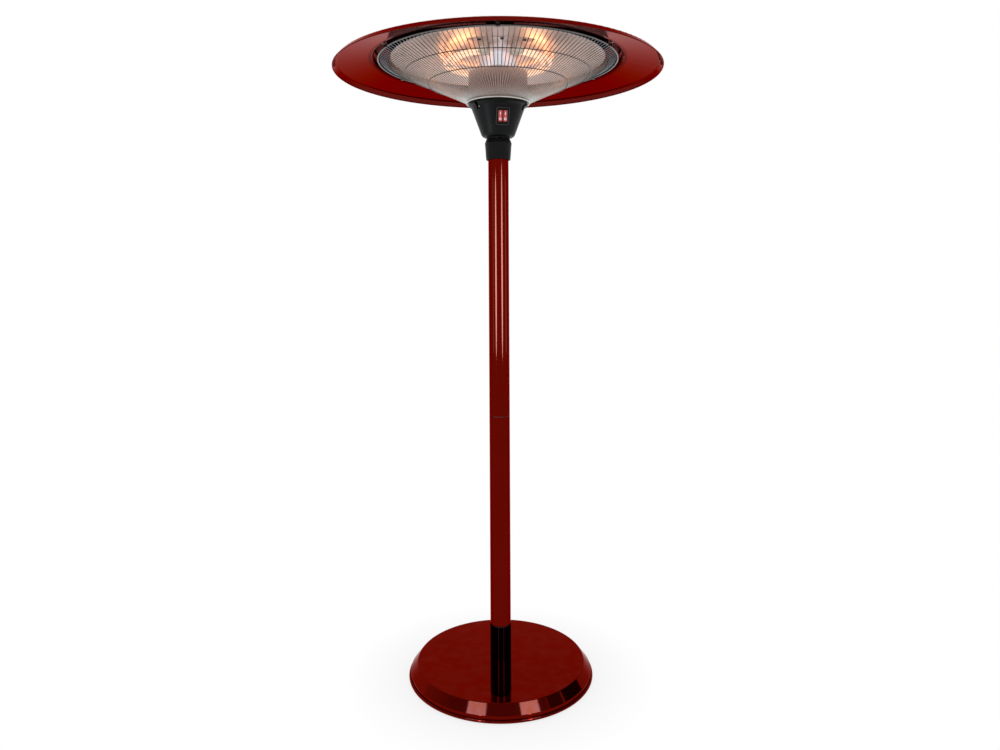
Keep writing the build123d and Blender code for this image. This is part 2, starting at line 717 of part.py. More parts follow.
def make_controls():
    tilt = Pos(0, -hub_d / 2 - seat_gap, z_neck + hub_h - tilt_switch_size[2] / 2) * Box(
        *tilt_switch_size, align=(Align.CENTER, Align.MAX, Align.MIN))
    keep("tilt_switch", facing(tilt_switch_azimuth) * tilt)

    size = terminal_size
    block = Pos(0, -lead_r, z_drum) * Box(*size, align=(Align.CENTER, Align.CENTER, Align.MIN))
    hole = Cylinder(terminal_hole_d / 2, terminal_hole_depth, align=(Align.CENTER, Align.CENTER, Align.MAX))
    for index in range(terminal_ways):
        x = ((index + 0.5) / terminal_ways - 0.5) * size[0]
        block -= Pos(x, -lead_r - size[1] / 4, z_drum + size[2]) * hole
    keep("terminal_block", facing(lamp_azimuth) * block)


# ---- Guard -----------------------------------------------------------------
def wire_height(radius):
    """Height of the wires' centre line at a radius."""
    return z_wire_foot + (radius - guard_foot_r) * tan(guard_slope)


def ring_under_wires(radius, ring_d):
    """Centre of a ring that touches the wires' lower side at a radius."""
    reach = guard_wire_d / 2 + ring_d / 2 + weld_gap
    return radius + reach * sin(guard_slope), wire_height(radius) - reach * cos(guard_slope)


def make_guard():
    slant = (guard_top_r - guard_foot_r) / cos(guard_slope)
    wire = Pos(guard_foot_r, 0, z_wire_foot) * Rot(0, 90 - degrees(guard_slope), 0) * Cylinder(
        guard_wire_d / 2, slant, align=(Align.CENTER, Align.CENTER, Align.MIN))
    keep("guard_wires", *[Rot(0, 0, azimuth) * wire for azimuth in around(guard_wire_count)])

    rings = []
    for radius in hoop_radii:
        ring_r, ring_z = ring_under_wires(radius, hoop_d)
        rings.append(hoop(ring_r, ring_z, hoop_d / 2))
    keep("guard_hoops", *rings)

    ring_r, ring_z = ring_under_wires(guard_foot_r + ring_inset, foot_ring_d)
    keep("guard_foot_ring", hoop(ring_r, ring_z, foot_ring_d / 2))
    plate_r = ring_r - foot_ring_d / 2 - seat_gap
    plate = tube(plate_r, rod_hole_r, z_plate, z_drum)
    for hole in lead_holes(z_plate, z_drum):
        plate -= hole
    keep("guard_foot_plate", plate)

    ring_r, ring_z = ring_under_wires(guard_top_r - ring_inset, top_ring_d)
    keep("guard_top_ring", hoop(ring_r, ring_z, top_ring_d / 2))

    wire_r = top_ring_d / 2 + clip_gap
    shelf = wire_height(guard_top_r) + guard_wire_d / 2 + clip_gap + clip_t / 2
    wall = crown_wall_r - clip_t / 2 - seat_gap
    pad_top = z_crown_wall() + crown_wall_h - crown_shoulder_h - crown_shoulder_r
    path = Polyline((wall, pad_top), (wall, shelf), (ring_r + wire_r + clip_t / 2, shelf),
                    (ring_r + wire_r + clip_t / 2, ring_z - wire_r - clip_t / 2),
                    (ring_r, ring_z - wire_r - clip_t / 2))
    strip = make_face(offset(Wire(path.edges()), clip_t / 2, side=Side.LEFT).edges())
    strip += make_face(offset(Wire(path.edges()), clip_t / 2, side=Side.RIGHT).edges())
    clip = extrude(Plane.XZ * strip, clip_w / 2, both=True)
    keep("guard_clips", *[Rot(0, 0, azimuth) * clip for azimuth in around(clip_count, 90.0)])


# ---- Lamps and reflector ---------------------------------------------------
def cap_height(radius, top, edge_r, fall):
    """Height at a radius of a spherical cap that falls from its top to its edge."""
    sphere_r = (edge_r ** 2 + fall ** 2) / (2 * fall)
    return top - sphere_r + sqrt(sphere_r ** 2 - radius ** 2)


def cap_arc(inner_r, edge_r, top, fall):
    """The arc of such a cap from a hole's edge to the cap's own edge."""
    places = [(r, cap_height(r, top, edge_r, fall)) for r in (inner_r, (inner_r + edge_r) / 2, edge_r)]
    return ThreePointArc(*places)


def dish_height(radius):
    """Height of the dish's underside at a radius."""
    return cap_height(radius, z_dish, dish_d / 2 - dish_bead_r, dish_fall)


def lead_holes(bottom, top):
    """Clearance holes for the two lamp leads, in a plate between two heights."""
    hole = Pos(0, -lead_r, 0) * tube(lead_d / 2 + lead_gap, 0, bottom, top)
    return [facing(lamp_azimuth + side * lead_half) * hole for side in (-1, 1)]


def holder_r():
    return (outer_lamp_r + inner_lamp_r) / 2


def holder_top():
    """The holders' flat top, just clear of the curved bracket above its outer end."""
    corner_r = sqrt((holder_r() + holder_l / 2) ** 2 + (holder_w / 2) ** 2)
    return dish_height(corner_r) - bracket_t - seat_gap


def arc_section(section, start, sweep):
    """A section drawn as (radius, height), swept about the axis from an azimuth."""
    return Rot(0, 0, start) * revolve(Plane.XZ * section, Axis.Z, sweep)


def make_drum():
    drum = tube(drum_d / 2, drum_d / 2 - drum_wall, z_drum, z_drum_top - drum_wall)
    drum += tube(drum_d / 2, rod_hole_r, z_drum_top - drum_wall, z_drum_top)
    for hole in lead_holes(z_drum_top - drum_wall, z_drum_top):
        drum -= hole
    keep("lamp_drum", drum)

    post = tube(post_flange_d / 2, post_d / 2 - post_wall, z_drum_top, z_drum_top + post_wall)
    top = dish_height(post_d / 2) - weld_gap
    post += tube(post_d / 2, post_d / 2 - post_wall, z_drum_top, top - post_wall)
    post += tube(post_d / 2, rod_hole_r, top - post_wall, top)
    for hole in lead_holes(top - post_wall, top):
        post -= hole
    keep("centre_post", post)


def make_dish():
    rim_r = dish_d / 2 - dish_bead_r
    underside = cap_arc(rod_hole_r, rim_r, z_dish, dish_fall)
    sheet = make_face(offset(Wire(underside.edges()), dish_sheet, side=Side.LEFT).edges())
    dish = turned(sheet, bead(rim_r, z_dish_rim, dish_bead_r))
    for hole in lead_holes(z_dish_rim, z_dish_top):
        dish -= hole
    for hole in outlet_holes():
        dish -= hole
    for hole in bracket_screw_ways():
        dish -= hole
    keep("reflector_dish", dish)


def outlet_holes():
    """Holes that let the leads down through the dish to the lamp holders."""
    hole = Pos(0, -holder_r(), 0) * tube(lead_d / 2 + lead_gap, 0, z_lamp, z_dish_top)
    return [facing(lamp_azimuth + side * lead_half) * hole for side in (-1, 1)]


def bracket_screw_ways():
    """Holes for the screws that hold the lamp bracket up against the dish."""
    way = Pos(0, -bracket_screw_r, 0) * tube(bracket_screw_d / 2 + screw_gap, 0, z_lamp, z_dish_top)
    return [facing(lamp_azimuth + angle) * way for angle in bracket_screw_angles]


def make_bracket():
    inner, outer = bracket_r
    top = ThreePointArc(*[(r, dish_height(r) - weld_gap) for r in (inner, (inner + outer) / 2, outer)])
    sheet = make_face(offset(Wire(top.edges()), bracket_t, side=Side.RIGHT).edges())
    bracket = arc_section(sheet, lamp_azimuth - 90 - bracket_half, 2 * bracket_half)
    for hole in outlet_holes():
        bracket -= hole
    for hole in bracket_screw_ways():
        bracket -= hole
    keep("lamp_bracket", bracket)

    seat = dish_height(bracket_screw_r + bracket_screw_head_d / 2) - 2 * seat_gap - bracket_t
    nut_seat = dish_height(bracket_screw_r - bracket_nut_af / 2) + dish_sheet + seat_gap
    screw = tube(bracket_screw_head_d / 2, 0, seat - pan_head_h, seat)
    screw = fillet(screw.edges().sort_by(Axis.Z)[0], pan_head_r) - cross(seat - pan_head_h)
    screw += tube(bracket_screw_d / 2, 0, seat, nut_seat + bracket_nut_h + bracket_screw_end)
    screw += hexagon(bracket_nut_af, nut_seat, nut_seat + bracket_nut_h)
    screw = Pos(0, -bracket_screw_r, 0) * screw
    keep("bracket_screws", *[facing(lamp_azimuth + angle) * screw for angle in bracket_screw_angles])


def make_lamps():
    start = lamp_azimuth - 90 + lamp_gap_half
    sweep = 360 - 2 * lamp_gap_half
    lamps = {"outer_lamp": ("outer_filament", outer_lamp_r), "inner_lamp": ("inner_filament", inner_lamp_r)}
    caps = []
    for name, (filament, radius) in lamps.items():
        wall = Pos(radius, z_lamp) * (Circle(lamp_tube_d / 2) - Circle(lamp_tube_d / 2 - lamp_glass))
        keep(name, arc_section(wall, start, sweep))
        keep(filament, arc_section(Pos(radius, z_lamp) * Circle(filament_d / 2), start, sweep))
        overlap = degrees(end_cap_overlap / radius)
        length = degrees(end_cap_l / radius)
        block = Pos(radius, z_lamp) * Rectangle(end_cap_d, end_cap_d)
        tube_way = Pos(radius, z_lamp) * Circle(lamp_tube_d / 2 + seat_gap)
        end = start + sweep - overlap
        for cap_start, way_start in ((start - length + overlap, start), (end, end)):
            cap = arc_section(block, cap_start, length)
            caps.append(cap - arc_section(tube_way, way_start, overlap))
    keep("lamp_end_caps", *caps)

    bottom = z_lamp + end_cap_d / 2
    holder = Pos(0, -holder_r(), bottom) * Box(
        holder_w, holder_l, holder_top() - bottom, align=(Align.CENTER, Align.CENTER, Align.MIN))
    keep("lamp_holders", *[facing(lamp_azimuth + side * lead_half) * holder for side in (-1, 1)])

    bar_top = z_lamp - lamp_tube_d / 2 - seat_gap
    span = outer_lamp_r - inner_lamp_r + 2 * hanger_spare
    bar = Pos(0, -holder_r(), bar_top) * Box(
        hanger_w, span, hanger_t, align=(Align.CENTER, Align.CENTER, Align.MAX))
    stem = Pos(0, -holder_r(), bar_top - hanger_t) * Box(
        hanger_w, hanger_t, dish_height(holder_r()) - seat_gap - bar_top + hanger_t,
        align=(Align.CENTER, Align.CENTER, Align.MIN))
    keep("lamp_hangers", *[facing(lamp_azimuth + angle) * (bar + stem) for angle in hanger_angles])


def make_leads():
    start = z_drum + terminal_size[2]
    run = z_dish + lead_height
    path = FilletPolyline((0, -lead_r, start), (0, -lead_r, run), (0, -holder_r(), run),
                          (0, -holder_r(), holder_top()), radius=lead_bend_r)
    lead = sweep(Plane(origin=(0, -lead_r, start), z_dir=(0, 0, 1)) * Circle(lead_d / 2), path=path)
    keep("lamp_leads", *[facing(lamp_azimuth + side * lead_half) * lead for side in (-1, 1)])


# ---- Shade -----------------------------------------------------------------
def z_lip():
    """Height of the shade's lower edge, set by where the crown wall meets the guard's top ring."""
    return ring_under_wires(guard_top_r - ring_inset, top_ring_d)[1] - lip_h - brim_rise


def z_crown_wall():
    return z_lip() + lip_h + brim_rise


def z_crown_under():
    return z_crown_wall() + crown_wall_h + crown_dome


def make_shade():
    lip_r_end = shade_d / 2 - hem_r
    fold_r = lip_r_end - lip_w
    wall_top = z_crown_wall() + crown_wall_h
    mouth = z_crown_wall()
    top = z_crown_under()
    lip = z_lip() + hem_r
    dome_r = crown_wall_r - crown_shoulder_w
    middle = cap_arc(rod_hole_r, dome_r, top, crown_dome)
    rest = FilletPolyline(
        (dome_r, wall_top), (crown_wall_r, wall_top - crown_shoulder_h), (crown_wall_r, mouth + crown_step),
        (brim_inner_r, mouth), (fold_r, z_lip() + lip_h), (lip_r_end, lip),
        radius=[crown_shoulder_r, crown_roll_r, crown_roll_r, lip_r])
    path = Wire(middle.edges() + rest.edges())
    crease = path.vertices().sort_by_distance((dome_r, wall_top, 0))[0]
    path = path.fillet_2d(crown_edge_r, [crease])
    sheet = make_face(offset(path, shade_sheet, side=Side.LEFT).edges())
    keep("shade", turned(sheet, bead(lip_r_end, lip, hem_r)))

    spacer_top = cap_height(spacer_flange_d / 2, top, dome_r, crown_dome) - weld_gap
    spacer = tube(spacer_d / 2, spacer_d / 2 - spacer_wall, z_dish_top, spacer_top)
    for z in (z_dish_top, spacer_top - spacer_flange_t):
        spacer += tube(spacer_flange_d / 2, spacer_d / 2 - spacer_wall, z, z + spacer_flange_t)
    for hole in lead_holes(z_dish_top, z_dish_top + spacer_flange_t):
        spacer -= hole
    keep("shade_spacer", spacer)

    outside = top + shade_sheet
    keep("cap_washer", tube(cap_washer_d / 2, rod_hole_r, outside, outside + cap_washer_t))
    nut_seat = outside + cap_washer_t
    dome = Pos(0, 0, nut_seat + cap_nut_h) * Sphere(nut_af / 2 - cap_nut_step)
    cap = hexagon(nut_af, nut_seat, nut_seat + cap_nut_h) + dome
    cap -= tube(rod_r + seat_gap, 0, nut_seat - nut_af, nut_seat + cap_nut_h + seat_gap)
    keep("cap_nut", cap & tube(nut_af, 0, nut_seat, nut_seat + 3 * cap_nut_h))

    rod_foot = z_flange - nut_h - rod_end
    keep("tie_rod", tube(rod_r, 0, rod_foot, nut_seat + cap_nut_h))
    nut = hexagon(nut_af, z_flange - nut_h, z_flange)
    keep("tie_rod_nut", nut - tube(rod_r + seat_gap, 0, z_flange - nut_h, z_flange))


def export_all():
    os.makedirs("parts", exist_ok=True)
    for name, solids in nodes.items():
        export_step(Compound(children=solids) if len(solids) > 1 else solids[0], f"parts/{name}.step")


make_foot()
make_socket()
make_poles()
make_telescope()
make_twist_lock()
make_housing()
make_flange()
make_switch()
make_controls()
make_guard()
make_drum()
make_dish()
make_bracket()
make_lamps()
make_leads()
make_shade()
export_all()
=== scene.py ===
import bpy
import json
from math import cos, pi, radians, sin
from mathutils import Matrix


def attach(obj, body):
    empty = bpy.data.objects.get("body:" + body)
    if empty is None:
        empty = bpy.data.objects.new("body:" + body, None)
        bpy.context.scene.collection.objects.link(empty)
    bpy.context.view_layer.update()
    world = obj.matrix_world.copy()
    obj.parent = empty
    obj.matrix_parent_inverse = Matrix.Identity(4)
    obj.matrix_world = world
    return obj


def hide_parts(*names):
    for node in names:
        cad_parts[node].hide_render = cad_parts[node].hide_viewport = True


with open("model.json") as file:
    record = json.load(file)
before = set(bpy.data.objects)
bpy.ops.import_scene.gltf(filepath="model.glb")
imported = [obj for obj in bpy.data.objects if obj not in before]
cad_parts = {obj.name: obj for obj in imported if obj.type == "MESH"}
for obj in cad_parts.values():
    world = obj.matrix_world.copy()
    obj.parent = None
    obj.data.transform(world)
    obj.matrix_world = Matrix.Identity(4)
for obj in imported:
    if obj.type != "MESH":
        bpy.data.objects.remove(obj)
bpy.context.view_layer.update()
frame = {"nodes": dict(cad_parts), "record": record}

# Sizes shared with the solids, in metres. The mast's axis is Z and the front is -Y.
LAMP_HEIGHT = 1.5886
LAMP_MIDDLE = radians(3 - 90)       # middle of the gap between the lamps' ends
LAMP_GAP = radians(21)              # half of that gap
OUTER_LAMP_R = 0.137
INNER_LAMP_R = 0.118
WIRE_COUNT = 144
WIRE_FOOT_R = 0.080
WIRE_FOOT_Z = 1.4883
WIRE_SLOPE = 0.1069 / 0.230
WELD_RADII = {"foot": 0.0818, "lower hoop": 0.1830, "upper hoop": 0.2414, "rim": 0.3095}
SEAM_HEIGHT = 0.6705                # where the two poles meet
SHOULDER_HEIGHT = 0.131             # by the socket's shoulder, where the lower pole stands
PAINTED_HOOD_SHADE_RADIUS = 0.336                 # nearer to the axis the shade's inner side gets painted shade
SWITCH_MIDDLE = (0.0112999, -0.0581332, 1.4418)
SWITCH_RIGHT = (0.981627, 0.190809, 0.0)
SWITCH_UP = (0.065818, -0.338606, 0.938623)
ROCKER_OFFSET = 0.0065              # a rocker's middle from the switch's middle
SWITCH_HALF_W = 0.0170
SWITCH_HALF_H = 0.0225

# The marks on a rocker, its inner light with a painted highlight along its middle, and the bezel's pale rim,
# which is a painted sheen, in metres. A pair says where a mark has faded out and where it is full, from the
# middle of its line. The rim is counted from the bezel's edge.
BAR_RISE = 0.0066
BAR_HALF_W = (0.0008, 0.0005)
BAR_HALF_H = (0.0030, 0.0026)
RING_DROP = 0.0068
RING_R = 0.0023
RING_HALF_W = (0.0007, 0.0004)
GLOW_HIGHLIGHT_HALF_W = (0.0048, 0.0006)
RIM_SHEEN_W = (0.0018, 0.0013)

PEEL_DEPTH = 0.0000015              # of the lacquer's skin, in metres
NOISE_SPAN = (0.3, 0.7)             # where most values of a noise lie


# ---- Node trees ------------------------------------------------------------
class Tree:
    """Adds nodes to a node tree. A value can be a number, a colour or another node's socket."""

    def __init__(self, tree):
        self.tree = tree
        self.tree.nodes.clear()

    def add(self, kind, values=None, **settings):
        node = self.tree.nodes.new(kind)
        for name, value in settings.items():
            setattr(node, name, value)
        for name, value in (values or {}).items():
            self.feed(node.inputs[name], value)
        return node

    def feed(self, socket, value):
        if isinstance(value, bpy.types.NodeSocket):
            self.tree.links.new(value, socket)
        else:
            socket.default_value = value

    def math(self, operation, first, second=0.0):
        return self.add("ShaderNodeMath", {0: first, 1: second}, operation=operation).outputs[0]

    def plus(self, first, second):
        return self.math("ADD", first, second)

    def minus(self, first, second):
        return self.math("SUBTRACT", first, second)

    def times(self, first, second):
        return self.math("MULTIPLY", first, second)

    def off(self, value, middle):
        """How far a value is from a middle, on either side."""
        return self.math("ABSOLUTE", self.minus(value, middle))

    def vector(self, operation, first, second=(0, 0, 0), wanted="Vector"):
        return self.add("ShaderNodeVectorMath", {0: first, 1: second}, operation=operation).outputs[wanted]

    def dot(self, first, second):
        return self.vector("DOT_PRODUCT", first, second, "Value")

    def length(self, vector):
        return self.vector("LENGTH", vector, wanted="Value")

    def rise(self, vector):
        """The part of a vector that points up."""
        return self.add("ShaderNodeSeparateXYZ", {0: vector}).outputs[2]

    def place(self):
        return self.add("ShaderNodeTexCoord").outputs["Object"]

    def normal(self):
        return self.add("ShaderNodeNewGeometry").outputs["Normal"]

    def out(self):
        """The level vector from the mast's axis."""
        return self.vector("MULTIPLY", self.place(), (1, 1, 0))

    def remap(self, value, low, high, to_low=0.0, to_high=1.0):
        node = self.add("ShaderNodeMapRange", {
            "Value": value, "From Min": low, "From Max": high, "To Min": to_low, "To Max": to_high})
        return node.outputs["Result"]

    def blend(self, factor, first, second):
        """A mix of two colours, which are the node's inputs 6 and 7."""
        return self.add("ShaderNodeMix", {0: factor, 6: first, 7: second}, data_type="RGBA").outputs[2]

    def noise(self, vector, scale, detail=2.0, rough=0.5):
        node = self.add("ShaderNodeTexNoise", {
            "Vector": vector, "Scale": scale, "Detail": detail, "Roughness": rough})
        return node.outputs["Fac"]

    def bump(self, height, distance):
        return self.add("ShaderNodeBump", {"Height": height, "Distance": distance}).outputs["Normal"]

    def use(self, group, **values):
        """Places a shared effect with this material's own values."""
        return self.add("ShaderNodeGroup", values, node_tree=group).outputs


def effect(name, inputs, outputs, make):
    """Builds one shared effect. inputs holds its numbers and outputs the kinds of its sockets."""
    group = bpy.data.node_groups.new(name, "ShaderNodeTree")
    for label, value in inputs.items():
        socket = group.interface.new_socket(label, in_out="INPUT", socket_type="NodeSocketFloat")
        socket.default_value = value
    for label, kind in outputs.items():
        group.interface.new_socket(label, in_out="OUTPUT", socket_type=kind)
    tree = Tree(group)
    given = tree.add("NodeGroupInput").outputs
    tree.add("NodeGroupOutput", make(tree, given))
    return group


# ---- Shared effects --------------------------------------------------------
def make_mottle(tree, given):
    """Soft clouds between a low and a high value."""
    cloud = tree.noise(tree.place(), given["Scale"], detail=4.0, rough=0.6)
    return {"Value": tree.remap(cloud, *NOISE_SPAN, given["Low"], given["High"])}


def make_peel(tree, given):
    """The faint waves of sprayed lacquer."""
    cells = tree.noise(tree.place(), given["Scale"], detail=1.0, rough=0.4)
    return {"Normal": tree.bump(cells, given["Depth"])}


def make_turned_lines(tree, given):
    """Fine rings about the mast's axis, as a lathe or a spinning brush leaves them."""
    rise_share = 1.7                # how much a step up counts beside a step out
    waver = 0.0006
    place = tree.place()
    across = tree.plus(tree.length(tree.out()), tree.times(tree.rise(place), rise_share))
    drift = tree.times(tree.noise(place, 9.0), waver)
    line = tree.add("ShaderNodeTexNoise", {
        "W": tree.times(tree.plus(across, drift), given["Density"]),
        "Scale": 1.0, "Detail": 5.0, "Roughness": 0.7}, noise_dimensions="1D").outputs["Fac"]
    return {"Value": tree.remap(line, *NOISE_SPAN, given["Low"], given["High"]),
            "Normal": tree.bump(line, given["Depth"])}


def make_grain(tree, given):
    """Pits with a finer roughness over them."""
    finer = 2.3
    fine_share = 0.6
    place = tree.place()
    pits = tree.add("ShaderNodeTexVoronoi", {"Vector": place, "Scale": given["Scale"]}).outputs["Distance"]
    fine = tree.noise(place, tree.times(given["Scale"], finer), detail=3.0, rough=0.6)
    height = tree.plus(pits, tree.times(fine, fine_share))
    return {"Value": tree.remap(height, 0.3, 1.1), "Normal": tree.bump(height, given["Depth"])}


def make_height_band(tree, given):
    """1 at a height on the mast, falling raggedly to 0 within the spread above and below it."""
    full_share = 0.4                # of the spread, from the band's middle
    away = tree.off(tree.rise(tree.place()), given["Height"])
    ragged = tree.times(tree.noise(tree.place(), 90.0, detail=4.0, rough=0.7), given["Spread"])
    full = tree.times(given["Spread"], full_share)
    return {"Value": tree.remap(tree.plus(away, ragged), given["Spread"], full)}


def make_radius_band(tree, given):
    """1 at a radius from the mast's axis, falling to 0 within the spread on either side."""
    away = tree.off(tree.length(tree.out()), given["Radius"])
    return {"Value": tree.remap(away, given["Spread"], 0.0)}


def make_radius_ramp(tree, given):
    """0 nearer to the mast's axis than one radius, rising to 1 at another."""
    return {"Value": tree.remap(tree.length(tree.out()), given["Near"], given["Far"])}


def make_outer_side(tree, given):
    """1 on faces that look away from the mast's axis and 0 on those that look toward it."""
    soft = 0.25
    facing = tree.dot(tree.vector("NORMALIZE", tree.out()), tree.normal())
    return {"Value": tree.remap(facing, -soft, soft)}


def make_painted_hood_shade(tree, given):
    """Where painted shade goes: 1 on faces that look down or toward the mast's axis, nearer to it than a
    radius.
    """
    edge = 0.003
    out = tree.out()
    normal = tree.normal()
    near = tree.remap(tree.length(out), given["Radius"], tree.minus(given["Radius"], edge))
    inward = tree.remap(tree.dot(tree.vector("NORMALIZE", out), normal), -0.3, -0.5)
    downward = tree.remap(tree.rise(normal), 0.1, -0.1)
    return {"Value": tree.times(near, tree.math("MAXIMUM", downward, inward))}


def make_switch_face(tree, given):
    """Marks, a painted highlight on the rockers and a painted sheen on the bezel's rim, from distances across
    and up the switch's face.
    """
    away = tree.vector("SUBTRACT", tree.place(), SWITCH_MIDDLE)
    side = tree.math("ABSOLUTE", tree.dot(away, SWITCH_RIGHT))
    rise = tree.dot(away, SWITCH_UP)
    across = tree.off(side, ROCKER_OFFSET)
    bar = tree.times(tree.remap(across, *BAR_HALF_W), tree.remap(tree.off(rise, BAR_RISE), *BAR_HALF_H))
    spot = tree.add("ShaderNodeCombineXYZ", {0: across, 1: tree.plus(rise, RING_DROP)}).outputs[0]
    ring = tree.remap(tree.off(tree.length(spot), RING_R), *RING_HALF_W)
    edge = tree.math("MINIMUM", tree.minus(SWITCH_HALF_W, side),
                     tree.minus(SWITCH_HALF_H, tree.math("ABSOLUTE", rise)))
    return {"Glow and highlight": tree.remap(across, *GLOW_HIGHLIGHT_HALF_W),
            "Mark": tree.math("MAXIMUM", bar, ring),
            "Rim sheen": tree.remap(edge, *RIM_SHEEN_W)}


def make_scuffs(tree, given):
    """Short fine scratches in two directions, as a mask."""
    masks = []
    for turn, stretch in ((0.4, (1, 14, 3)), (2.1, (12, 1, 4))):
        turned = tree.add("ShaderNodeMapping", {
            "Vector": tree.place(), "Rotation": (0.3, 0.2, turn), "Scale": stretch}).outputs[0]
        masks.append(tree.remap(tree.noise(turned, given["Scale"], detail=3.0, rough=0.8), 0.66, 0.74))
    return {"Value": tree.times(tree.math("MAXIMUM", *masks), given["Amount"])}


def make_settled_dust(tree, given):
    """Dust on faces that look up, thicker where the noise is high."""
    upward = tree.remap(tree.rise(tree.normal()), 0.3, 1.0)
    patch = tree.remap(tree.noise(tree.place(), given["Scale"], detail=6.0, rough=0.65), 0.42, 0.72)
    return {"Value": tree.times(tree.times(upward, patch), given["Amount"])}


VALUE = {"Value": "NodeSocketFloat"}
NORMAL = {"Normal": "NodeSocketVector"}
MASKS = {"Glow and highlight": "NodeSocketFloat", "Mark": "NodeSocketFloat", "Rim sheen": "NodeSocketFloat"}

mottle = effect("mottle", {"Scale": 8.0, "Low": 0.0, "High": 1.0}, VALUE, make_mottle)
paint_peel = effect("paint peel", {"Scale": 260.0, "Depth": 0.00002}, NORMAL, make_peel)
turned_lines = effect("turned lines", {"Density": 1500.0, "Low": 0.0, "High": 1.0, "Depth": 0.00002},
                      {**VALUE, **NORMAL}, make_turned_lines)
moulded_grain = effect("moulded grain", {"Scale": 1400.0, "Depth": 0.00004}, {**VALUE, **NORMAL}, make_grain)
height_band = effect("height band", {"Height": 0.0, "Spread": 0.01}, VALUE, make_height_band)
radius_band = effect("radius band", {"Radius": 0.1, "Spread": 0.03}, VALUE, make_radius_band)
radius_ramp = effect("radius ramp", {"Near": 0.1, "Far": 0.2}, VALUE, make_radius_ramp)
outer_side = effect("outer side", {}, VALUE, make_outer_side)
painted_hood_shade = effect("painted hood shade", {"Radius": 0.3}, VALUE, make_painted_hood_shade)
switch_face = effect("switch face", {}, MASKS, make_switch_face)
scuffs = effect("scuffs", {"Scale": 60.0, "Amount": 1.0}, VALUE, make_scuffs)
settled_dust = effect("settled dust", {"Scale": 20.0, "Amount": 0.2}, VALUE, make_settled_dust)


# ---- Finishes --------------------------------------------------------------
def rgb(red, green, blue):
    return (red, green, blue, 1)


def shaded(colour, share):
    """A share of a colour's light."""
    return tuple(share * part for part in colour[:3]) + (1,)


WHITE = rgb(1, 1, 1)
DUST = rgb(0.30, 0.25, 0.22)
# painted shade for the inside of the shade's hood
PAINTED_HOOD_SHADE = rgb(0.004, 0.002, 0.002)
STRAW = rgb(0.62, 0.40, 0.24)
RUST = rgb(0.16, 0.07, 0.03)


def node_material(name):
    """A new material and its emptied tree."""
    material = bpy.data.materials.new(name)
    material.use_nodes = True
    return material, Tree(material.node_tree)


def surface(name, constants, dress):
    """One finish: constants go straight on the shader and dress feeds what varies over the surface."""
    material, tree = node_material(name)
    shader = tree.add("ShaderNodeBsdfPrincipled")
    for label, value in constants.items():
        shader.inputs[label].default_value = value
    for label, value in dress(tree).items():
        tree.feed(shader.inputs[label], value)
    tree.add("ShaderNodeOutputMaterial", {"Surface": shader.outputs["BSDF"]})
    return material


def candy_enamel(name, colour, dark, grazing, rough, wear_height, coat=0.0, dust=0.012, hood=0.0):
    """Mirror-bright tinted lacquer over metal, with faint cloudiness, dust and a worn edge at one height.
    What faces down or in nearer to the axis than the hood radius gets painted shade."""
    wear_share = 0.5
    rub_rough = 0.12
    dust_cover = 0.8

    def dress(tree):
        cloud = tree.use(mottle, Scale=5.0, Low=0.0, High=1.0)["Value"]
        rub = tree.use(scuffs, Scale=22.0, Amount=0.12)["Value"]
        worn = tree.use(height_band, Height=wear_height, Spread=0.003)["Value"]
        powder = tree.use(settled_dust, Scale=30.0, Amount=dust)["Value"]
        tone = tree.blend(cloud, colour, dark)
        tone = tree.blend(tree.times(worn, wear_share), tone, shaded(dark, 0.35))
        # painted shade inside the hood
        if hood:
            tone = tree.blend(tree.use(painted_hood_shade, Radius=hood)["Value"], tone, PAINTED_HOOD_SHADE)
        gloss = tree.use(mottle, Scale=14.0, Low=rough, High=rough * 1.7)["Value"]
        return {"Base Color": tree.blend(powder, tone, DUST),
                "Roughness": tree.plus(gloss, tree.times(tree.plus(rub, powder), rub_rough)),
                "Metallic": tree.minus(1.0, tree.times(powder, dust_cover)),
                "Normal": tree.use(paint_peel, Scale=170.0, Depth=PEEL_DEPTH)["Normal"]}
    return surface(name, {"Coat Weight": coat, "Coat Roughness": 0.03, "Specular Tint": grazing}, dress)


def moulded(name, colour, pale, rough, grain=1500.0, depth=0.00003, specular=0.3, rim=None):
    """Moulded plastic or rubber with a fine pitted skin and a little grey rubbed into it."""
    cloud_share = 0.5
    rub_rough = 0.2

    def dress(tree):
        skin = tree.use(moulded_grain, Scale=grain, Depth=depth)
        cloud = tree.use(mottle, Scale=18.0)["Value"]
        rub = tree.use(scuffs, Scale=45.0, Amount=0.35)["Value"]
        tone = tree.blend(tree.times(cloud, cloud_share), colour, pale)
        # a rim colour is a painted sheen along the bezel's edge
        if rim:
            tone = tree.blend(tree.use(switch_face)["Rim sheen"], tone, rim)
        gloss = tree.remap(skin["Value"], 0.0, 1.0, rough - 0.05, rough + 0.06)
        return {"Base Color": tree.blend(rub, tone, pale), "Normal": skin["Normal"],
                "Roughness": tree.plus(gloss, tree.times(rub, rub_rough))}
    return surface(name, {"Specular IOR Level": specular}, dress)


